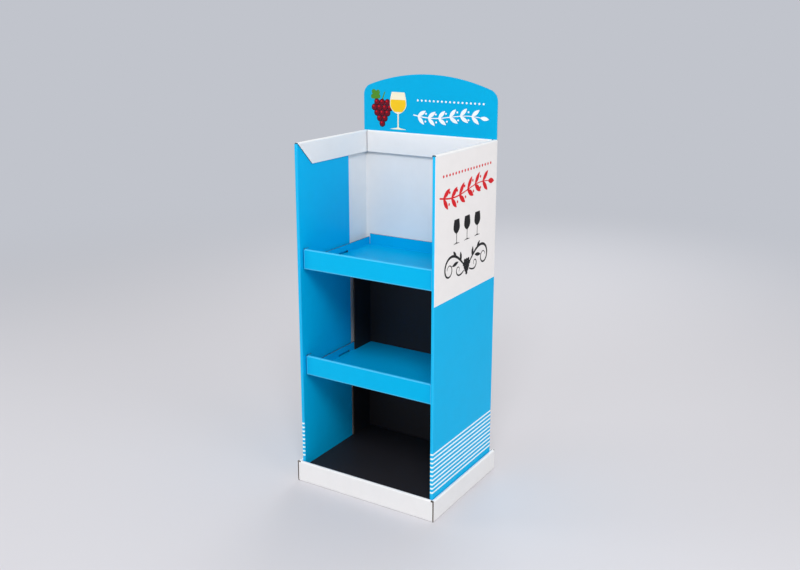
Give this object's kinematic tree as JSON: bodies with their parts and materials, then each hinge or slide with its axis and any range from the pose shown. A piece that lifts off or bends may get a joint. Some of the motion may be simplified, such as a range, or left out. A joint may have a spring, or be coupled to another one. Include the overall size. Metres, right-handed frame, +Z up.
{
  "type": "cardboard display stand",
  "caption": "Tall floor display stand of folded corrugated board: a tray base, open-fronted bays with lipped tray shelves, folded rims and an arched header card.",
  "frame": {"origin": "on the floor, under the middle of the base tray", "axes": "+Z up, the open front faces -Y, and +X is to the right of someone who looks at the front"},
  "size_m": [0.5022, 0.4022, 1.2749],
  "materials": {
    "white_board": "white paper on corrugated board, matte",
    "black_board": "black printed corrugated board, matte",
    "kraft_board": "plain brown corrugated board",
    "printed_board": "printed paper on corrugated board, satin",
    "cyan_board": "cyan printed paper on corrugated board, satin",
    "header_board": "printed paper on corrugated board, satin"
  },
  "bodies": {
    "root": {"base_tray": "white_board", "base_deck": "black_board", "long_strip_1": "kraft_board", "long_strip_2": "kraft_board", "long_strip_3": "kraft_board", "cross_strip_1": "kraft_board", "cross_strip_2": "kraft_board", "cross_strip_3": "kraft_board", "cross_strip_4": "kraft_board", "body": "printed_board", "middle_shelf": "cyan_board", "upper_shelf": "cyan_board", "lower_riser": "black_board", "middle_riser": "black_board", "header_card": "header_board"}
  },
  "joints": []
}
